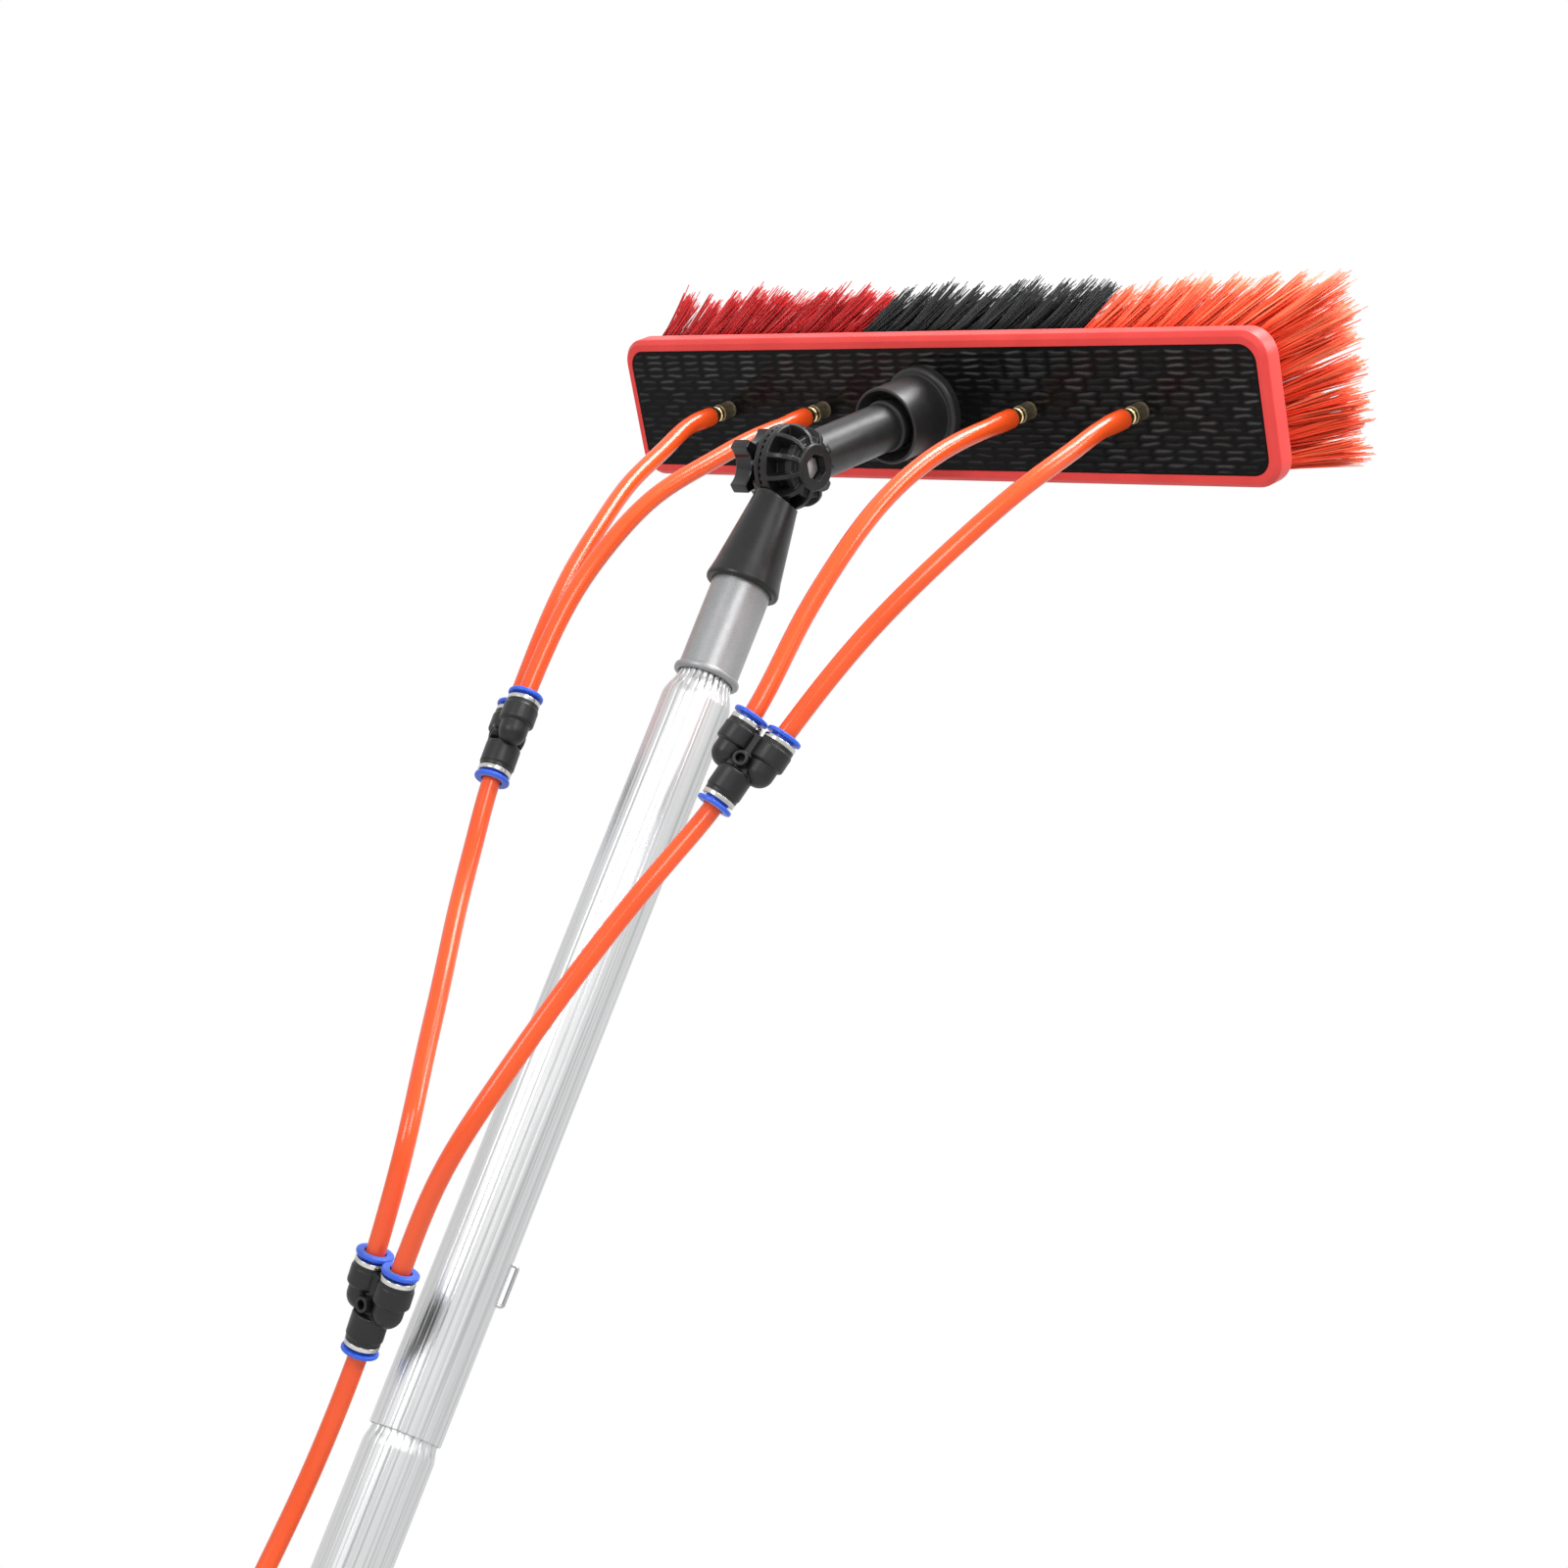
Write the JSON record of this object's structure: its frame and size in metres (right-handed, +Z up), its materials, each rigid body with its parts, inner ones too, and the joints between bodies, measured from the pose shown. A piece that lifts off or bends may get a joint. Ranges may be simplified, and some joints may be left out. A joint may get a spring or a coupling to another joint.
{
  "type": "window cleaning pole system",
  "caption": "Water-fed window brush with flared bristles on a tilting head, fed by branching hoses and push-fit wyes, on a sectional aluminium pole",
  "frame": {"origin": "middle of the flat underside of the end cap, on the pole axis", "axes": "+Z up along the pole, +X along the brush towards the bolt head side of the tilting joint, +Y the way the bristles face"},
  "size_m": [0.4034, 0.1945, 0.8997],
  "materials": {
    "red_plastic": "moulded red brush block, satin gloss",
    "black_plastic": "fine-grained black moulding",
    "grey_plastic": "satin light grey sleeve",
    "aluminium": "drawn, finely fluted tube",
    "steel": "bright zinc-plated steel",
    "brass": "turned brass",
    "nickel": "nickel-plated ring",
    "blue_plastic": "glossy blue release collet",
    "orange_hose": "glossy polyurethane hose",
    "red_bristle": "flagged synthetic bristle",
    "black_bristle": "flagged synthetic bristle"
  },
  "bodies": {
    "pole": {"end_cap": "black_plastic", "lower_pole": "aluminium", "upper_pole": "aluminium", "pole_collar": "grey_plastic", "lower_arm": "black_plastic", "pivot_washer": "steel", "jet_hose_1": "orange_hose", "jet_hose_2": "orange_hose", "jet_hose_3": "orange_hose", "jet_hose_4": "orange_hose", "branch_hose_left": "orange_hose", "branch_hose_right": "orange_hose", "supply_hose": "orange_hose", "hose_coil": "orange_hose", "coil_tie": "black_plastic", "inlet_connector": "brass", "wye_left_body": "black_plastic", "wye_right_body": "black_plastic", "wye_lower_body": "black_plastic", "wye_left_ring_1": "nickel", "wye_left_ring_2": "nickel", "wye_left_ring_3": "nickel", "wye_right_ring_1": "nickel", "wye_right_ring_2": "nickel", "wye_right_ring_3": "nickel", "wye_lower_ring_1": "nickel", "wye_lower_ring_2": "nickel", "wye_lower_ring_3": "nickel"},
    "brush_head": {"upper_arm": "black_plastic", "pivot_bolt": "steel", "handle_socket": "black_plastic", "back_plate": "black_plastic", "brush_block": "red_plastic", "bristles_red_left": "red_bristle", "bristles_black": "black_bristle", "bristles_red_right": "red_bristle", "jet_1": "brass", "jet_2": "brass", "jet_3": "brass", "jet_4": "brass"},
    "knob": {"star_knob": "black_plastic", "knob_nut": "steel"},
    "clip": {"lock_clip": "steel"},
    "collet_left_1": {"wye_left_collet_1": "blue_plastic"},
    "collet_left_2": {"wye_left_collet_2": "blue_plastic"},
    "collet_left_3": {"wye_left_collet_3": "blue_plastic"},
    "collet_right_1": {"wye_right_collet_1": "blue_plastic"},
    "collet_right_2": {"wye_right_collet_2": "blue_plastic"},
    "collet_right_3": {"wye_right_collet_3": "blue_plastic"},
    "collet_lower_1": {"wye_lower_collet_1": "blue_plastic"},
    "collet_lower_2": {"wye_lower_collet_2": "blue_plastic"},
    "collet_lower_3": {"wye_lower_collet_3": "blue_plastic"}
  },
  "joints": [
    {"name": "head_tilt", "type": "hinge", "parent": "pole", "child": "brush_head", "pos_m": [0, 0, 0.7651], "axis": [-1, 0, 0], "range_deg": [-44, 46], "deforming": ["jet_hose_1", "jet_hose_2", "jet_hose_3", "jet_hose_4"]},
    {"name": "knob_turn", "type": "hinge", "parent": "pole", "child": "knob", "pos_m": [-0.0123, 0, 0.7651], "axis": [-1, 0, 0], "continuous": true},
    {"name": "clip_release", "type": "hinge", "parent": "pole", "child": "clip", "pos_m": [0.01081, 0.0104, 0.4051], "axis": [0.6934, -0.7206, 0], "range_deg": [0, 10], "stiffness_Nm_per_rad": 0.5},
    {"name": "press_left_1", "type": "slide", "parent": "pole", "child": "collet_left_1", "axis": [0.13, -0.06, -0.9897], "range_m": [0, 0.001], "stiffness_N_per_m": 200},
    {"name": "press_left_2", "type": "slide", "parent": "pole", "child": "collet_left_2", "axis": [0.13, -0.06, -0.9897], "range_m": [0, 0.001], "stiffness_N_per_m": 200},
    {"name": "press_left_3", "type": "slide", "parent": "pole", "child": "collet_left_3", "axis": [-0.13, 0.06, 0.9897], "range_m": [0, 0.001], "stiffness_N_per_m": 200},
    {"name": "press_right_1", "type": "slide", "parent": "pole", "child": "collet_right_1", "axis": [-0.2455, -0.0701, -0.9669], "range_m": [0, 0.001], "stiffness_N_per_m": 200},
    {"name": "press_right_2", "type": "slide", "parent": "pole", "child": "collet_right_2", "axis": [-0.2455, -0.0701, -0.9669], "range_m": [0, 0.001], "stiffness_N_per_m": 200},
    {"name": "press_right_3", "type": "slide", "parent": "pole", "child": "collet_right_3", "axis": [0.2455, 0.0701, 0.9669], "range_m": [0, 0.001], "stiffness_N_per_m": 200},
    {"name": "press_lower_1", "type": "slide", "parent": "pole", "child": "collet_lower_1", "axis": [-0.2905, 0.3606, -0.8864], "range_m": [0, 0.001], "stiffness_N_per_m": 200},
    {"name": "press_lower_2", "type": "slide", "parent": "pole", "child": "collet_lower_2", "axis": [-0.2905, 0.3606, -0.8864], "range_m": [0, 0.001], "stiffness_N_per_m": 200},
    {"name": "press_lower_3", "type": "slide", "parent": "pole", "child": "collet_lower_3", "axis": [0.2905, -0.3606, 0.8864], "range_m": [0, 0.001], "stiffness_N_per_m": 200}
  ]
}
